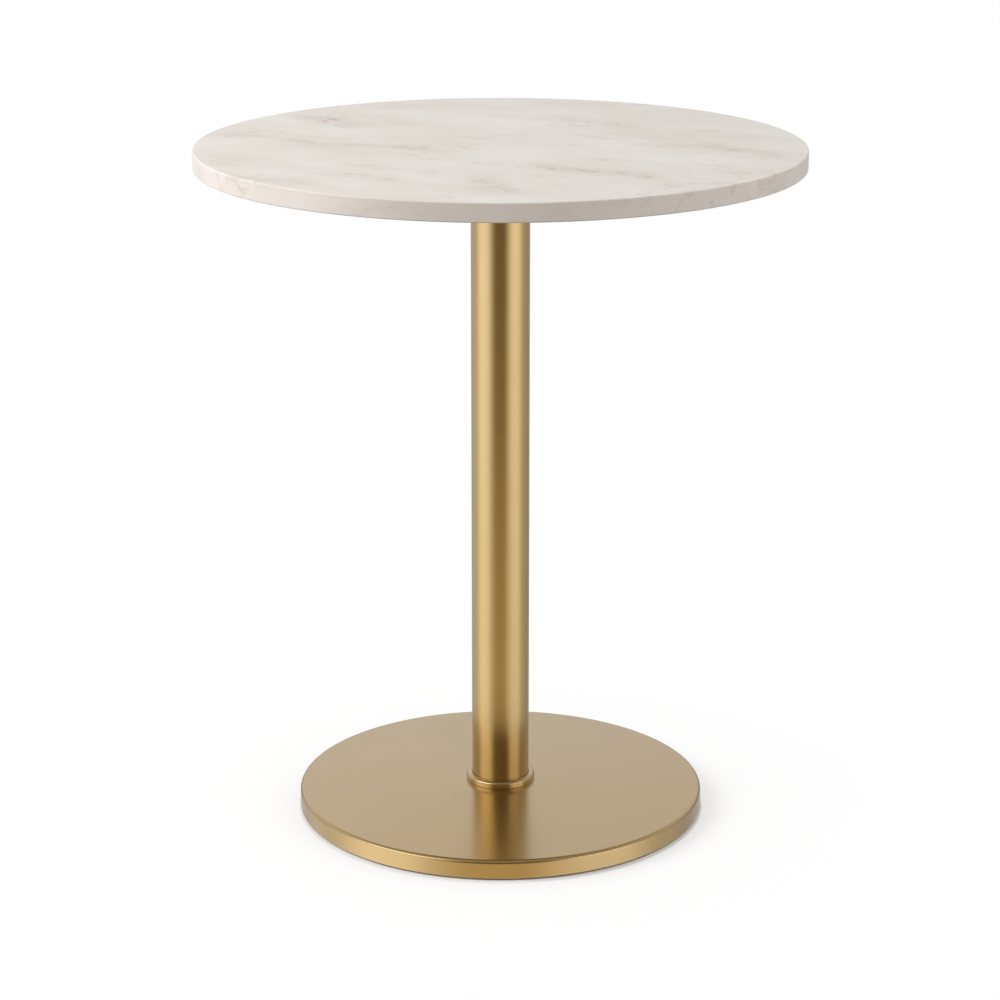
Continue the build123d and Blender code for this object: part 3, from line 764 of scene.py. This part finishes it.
def makeFloor():
    mesh = bmesh.new()
    bmesh.ops.create_grid(mesh, x_segments=1, y_segments=1, size=studio["paperHalf"])
    data = bpy.data.meshes.new("studio_floor")
    mesh.to_mesh(data)
    mesh.free()
    floor = bpy.data.objects.new("studio_floor", data)
    bpy.context.scene.collection.objects.link(floor)
    floor.visible_glossy = False  # the metal shows the surround instead, down to the ground
    material, tree = startMaterial("white_paper_floor")
    place = addNode(tree, "ShaderNodeTexCoord").outputs["Object"]
    away = addNode(tree, "ShaderNodeVectorMath", {0: place, 1: studio["shadowMiddle"]},
                   operation="DISTANCE")
    glow = 0.0
    for near, far, gain in studio["paperGlow"]:
        rise = addNode(tree, "ShaderNodeMapRange", {0: away.outputs["Value"], 1: near, 2: far, 4: gain},
                       interpolation_type="SMOOTHSTEP")
        glow = addNode(tree, "ShaderNodeMath", {0: glow, 1: rise.outputs[0]}).outputs[0]
    path = addNode(tree, "ShaderNodeLightPath")
    seen = addNode(tree, "ShaderNodeMath",
                   {0: path.outputs["Is Camera Ray"], 1: path.outputs["Is Transmission Ray"]},
                   operation="MAXIMUM")
    share = addNode(tree, "ShaderNodeMath", {0: seen.outputs[0], 1: glow}, operation="MULTIPLY")
    # the camera sees the pale paper; light bounced off the floor meets the darker tint, which paints shade
    # on the table's lower faces
    tint = addNode(tree, "ShaderNodeMix",
                   {
                       0: seen.outputs[0],
                       6: linearColour(studio["bounceShadeTint"]),
                       7: linearColour(studio["paperTint"]),
                   },
                   data_type="RGBA")
    matt = addNode(tree, "ShaderNodeBsdfDiffuse", {"Color": tint.outputs[2]})
    white = addNode(tree, "ShaderNodeEmission", {"Strength": 1.0})
    lit = addNode(tree, "ShaderNodeMixShader",
                  {0: share.outputs[0], 1: matt.outputs[0], 2: white.outputs[0]})
    # seen from below the floor is clear, so that the underside can be looked at
    under = addNode(tree, "ShaderNodeNewGeometry")
    clear = addNode(tree, "ShaderNodeBsdfTransparent")
    shader = addNode(tree, "ShaderNodeMixShader",
                     {0: under.outputs["Backfacing"], 1: lit.outputs[0], 2: clear.outputs[0]})
    finishMaterial(tree, shader)
    data.materials.append(material)


def addPanel(tree, way, height, light, panel):
    turned = addNode(tree, "ShaderNodeMapping",
                     {"Vector": way, "Rotation": (0, 0, math.radians(90 - panel["bearing"]))})
    turnedParts = addNode(tree, "ShaderNodeSeparateXYZ", {0: turned.outputs[0]})
    bearing = addNode(tree, "ShaderNodeMath", {0: turnedParts.outputs["Y"], 1: turnedParts.outputs["X"]},
                      operation="ARCTAN2")
    off = addNode(tree, "ShaderNodeMath", {0: bearing.outputs[0]}, operation="ABSOLUTE")
    across = addNode(tree, "ShaderNodeMapRange",
                     {
                         0: off.outputs[0],
                         1: math.radians(panel["half"] + panel["edge"]),
                         2: math.radians(panel["half"] - panel["edge"]),
                     },
                     interpolation_type="SMOOTHSTEP")
    low, high = panel["heights"]
    window = addNode(tree, "ShaderNodeMapRange",
                     {0: height, 1: low, 2: high, 3: panel["glow"][0], 4: panel["glow"][1]})
    steps = [across]
    for edge, side in ((low, 1), (high, -1)):
        steps.append(addNode(tree, "ShaderNodeMapRange",
                             {
                                 0: height,
                                 1: edge - side * studio["panelFade"],
                                 2: edge + side * studio["panelFade"],
                             },
                             interpolation_type="SMOOTHSTEP"))
    for step in steps:
        window = addNode(tree, "ShaderNodeMath", {0: window.outputs[0], 1: step.outputs[0]},
                         operation="MULTIPLY")
    glow = addNode(tree, "ShaderNodeVectorMath", {0: panel["tint"], "Scale": window.outputs[0]},
                   operation="SCALE")
    return addNode(tree, "ShaderNodeVectorMath", {0: light.outputs[0], 1: glow.outputs[0]})


def makeSurround():
    # white for the camera, for other rays a pale back wall, a dim front and soft panels to the sides
    world = bpy.data.worlds.new("studio_surround")
    world.use_nodes = True
    tree = world.node_tree
    tree.nodes.clear()
    way = addNode(tree, "ShaderNodeTexCoord").outputs["Generated"]
    parts = addNode(tree, "ShaderNodeSeparateXYZ", {0: way})
    level = 1.0
    for name in ("walls", "sides", "lift"):
        change = studio[name]
        share = addNode(tree, "ShaderNodeMapRange",
                        {
                            0: parts.outputs[change["along"]],
                            1: change["turn"][0],
                            2: change["turn"][1],
                            3: change["levels"][0],
                            4: change["levels"][1],
                        },
                        interpolation_type="SMOOTHSTEP")
        level = addNode(tree, "ShaderNodeMath", {0: level, 1: share.outputs[0]},
                        operation="MULTIPLY").outputs[0]
    path = addNode(tree, "ShaderNodeLightPath")
    ceiling = studio["ceiling"]
    overhead = addNode(tree, "ShaderNodeMix",
                       {0: path.outputs["Is Glossy Ray"], 2: ceiling["level"], 3: ceiling["inMetal"]})
    upward = addNode(tree, "ShaderNodeMapRange",
                     {0: parts.outputs["Z"], 1: ceiling["turn"][0], 2: ceiling["turn"][1]},
                     interpolation_type="SMOOTHSTEP")
    level = addNode(tree, "ShaderNodeMix",
                    {0: upward.outputs[0], 2: level, 3: overhead.outputs[0]}).outputs[0]
    tint = (1, 1, 1, 1)
    for warmth, along in ((studio["warmFront"], "Y"), (studio["warmGround"], "Z")):
        there = addNode(tree, "ShaderNodeMapRange",
                        {0: parts.outputs[along], 1: warmth["turn"][0], 2: warmth["turn"][1]},
                        interpolation_type="SMOOTHSTEP")
        tint = addNode(tree, "ShaderNodeMix",
                       {0: there.outputs[0], 6: tint, 7: (*warmth["tint"], 1)},
                       data_type="RGBA", blend_type="MULTIPLY").outputs[2]
    light = addNode(tree, "ShaderNodeVectorMath", {0: tint, "Scale": level}, operation="SCALE")
    for panel in studio["panels"]:
        light = addPanel(tree, way, parts.outputs["Z"], light, panel)
    room = addNode(tree, "ShaderNodeBackground", {"Color": light.outputs[0], "Strength": 1.0})
    white = addNode(tree, "ShaderNodeBackground", {"Color": (1, 1, 1, 1), "Strength": 1.0})
    seen = addNode(tree, "ShaderNodeMath",
                   {0: path.outputs["Is Camera Ray"], 1: path.outputs["Is Transmission Ray"]},
                   operation="MAXIMUM")
    mixed = addNode(tree, "ShaderNodeMixShader",
                    {0: seen.outputs[0], 1: room.outputs[0], 2: white.outputs[0]})
    addNode(tree, "ShaderNodeOutputWorld", {"Surface": mixed.outputs[0]})
    bpy.context.scene.world = world


def makeLamps():
    for lampSizes in studio["lamps"]:
        light = bpy.data.lights.new(lampSizes["name"], "AREA")
        light.shape = "RECTANGLE"
        light.size, light.size_y = lampSizes["size"]
        # an area lamp of this power has the given glow, where 1 is white
        light.energy = lampSizes["glow"] * math.pi * light.size * light.size_y
        lamp = bpy.data.objects.new(lampSizes["name"], light)
        lamp.location = lampSizes["at"]
        towards = [aim - at for aim, at in zip(lampSizes["aim"], lampSizes["at"])]
        lamp.rotation_euler = Vector(towards).to_track_quat("-Z", "Y").to_euler()
        lamp.visible_camera = False
        lamp.visible_glossy = False  # the metal shows the panels
        bpy.context.scene.collection.objects.link(lamp)


def makeCamera():
    lens = bpy.data.cameras.new("photo_camera")
    lens.lens = camera["lens"]
    lens.sensor_width = camera["sensor"]
    viewer = bpy.data.objects.new("photo_camera", lens)
    viewer.location = camera["at"]
    viewer.rotation_euler = (math.radians(90 - camera["pitch"]), 0, 0)
    bpy.context.scene.collection.objects.link(viewer)
    bpy.context.scene.camera = viewer


makeFloor()
makeSurround()
makeLamps()
makeCamera()
bpy.context.scene.view_settings.view_transform = "Standard"
print("studio ready")
